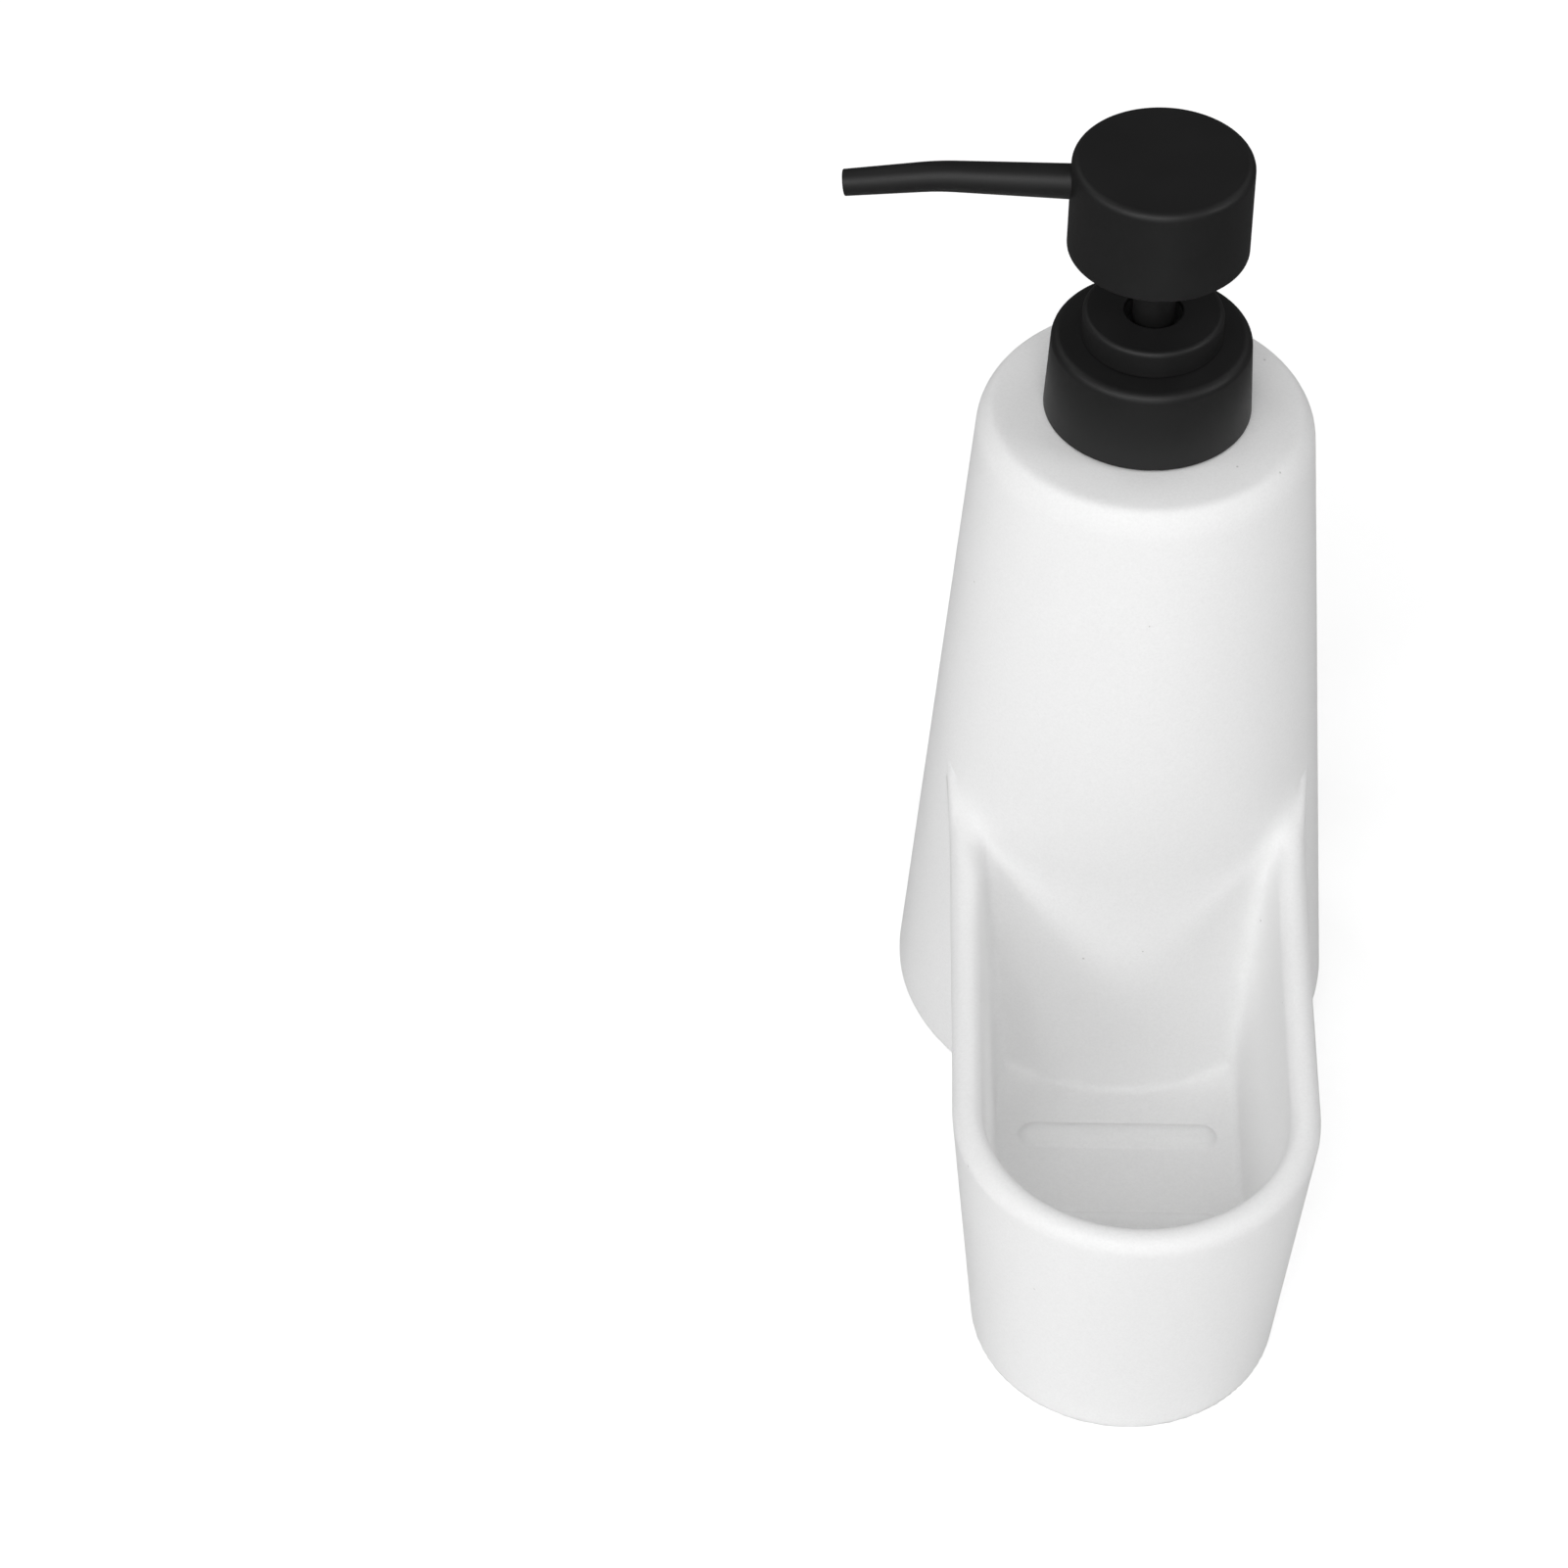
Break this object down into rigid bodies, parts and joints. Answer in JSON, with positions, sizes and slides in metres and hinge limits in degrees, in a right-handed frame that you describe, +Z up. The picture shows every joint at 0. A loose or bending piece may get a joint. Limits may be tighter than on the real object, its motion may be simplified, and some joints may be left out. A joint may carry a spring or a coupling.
{
  "type": "soap pump caddy",
  "caption": "Tapered ceramic soap bottle with an open scrubber cup grown out of its front and a black lotion pump with a swivelling, slightly bent spout.",
  "frame": {"origin": "where the bottle's axis meets the table plane, at the centre of the round foot", "axes": "+Z up along the bottle's axis, -Y towards the round front of the cup, +X to the right as seen from the cup; at rest the spout points almost along -X"},
  "size_m": [0.091, 0.1547, 0.1871],
  "materials": {
    "ceramic_glaze": "matt white glazed ceramic",
    "seal_rubber": "soft grey seal",
    "white_plastic": "moulded white plastic",
    "black_plastic": "moulded black plastic",
    "black_metal": "matt black coated metal",
    "gasket_rubber": "soft grey seal",
    "housing_plastic": "moulded white plastic",
    "chaplet_plastic": "moulded black plastic",
    "guide_metal": "matt black coated metal",
    "inlet_steel": "polished stainless steel",
    "tube_plastic": "milky clear plastic",
    "spring_steel": "drawn stainless wire",
    "piston_plastic": "soft white plastic",
    "foot_plastic": "moulded white plastic",
    "stem_plastic": "smooth black plastic",
    "outlet_steel": "polished stainless steel",
    "core_plastic": "moulded black plastic",
    "head_metal": "matt black coated metal",
    "spout_metal": "matt black coated metal"
  },
  "bodies": {
    "caddy": {"ceramic_body": "ceramic_glaze", "adapter_seal": "seal_rubber", "neck_adapter": "white_plastic"},
    "pump": {"gasket": "gasket_rubber", "pump_housing": "housing_plastic", "chaplet": "chaplet_plastic", "guide_ring": "guide_metal", "dip_tube": "tube_plastic", "return_spring": "spring_steel"},
    "closure": {"closure_cap": "black_plastic", "collar_shell": "black_metal"},
    "inlet_ball": {"inlet_ball": "inlet_steel"},
    "piston": {"piston_seal": "piston_plastic"},
    "head": {"stem_foot": "foot_plastic", "stem": "stem_plastic", "actuator_core": "core_plastic", "head_shell": "head_metal", "spout_tube": "spout_metal"},
    "outlet_ball": {"outlet_ball": "outlet_steel"}
  },
  "joints": [
    {"name": "pump_lift", "type": "slide", "parent": "caddy", "child": "pump", "axis": [0, 0, 1], "range_m": [0, 0.15]},
    {"name": "closure_turn", "type": "hinge", "parent": "pump", "child": "closure", "pos_m": [0, 0, 0.144], "axis": [0, 0, 1], "range_deg": [0, 360]},
    {"name": "pump_press", "type": "slide", "parent": "pump", "child": "piston", "axis": [0, 0, -1], "range_m": [0, 0.012], "stiffness_N_per_m": 700, "springref_m": -0.012, "deforming": ["return_spring"]},
    {"name": "head_swivel", "type": "hinge", "parent": "piston", "child": "head", "pos_m": [0, 0, 0.17], "axis": [0, 0, 1], "continuous": true},
    {"name": "inlet_ball_lift", "type": "slide", "parent": "pump", "child": "inlet_ball", "axis": [0, 0, 1], "range_m": [0, 0.0012]},
    {"name": "outlet_ball_lift", "type": "slide", "parent": "head", "child": "outlet_ball", "axis": [0, 0, 1], "range_m": [0, 0.0012]}
  ]
}
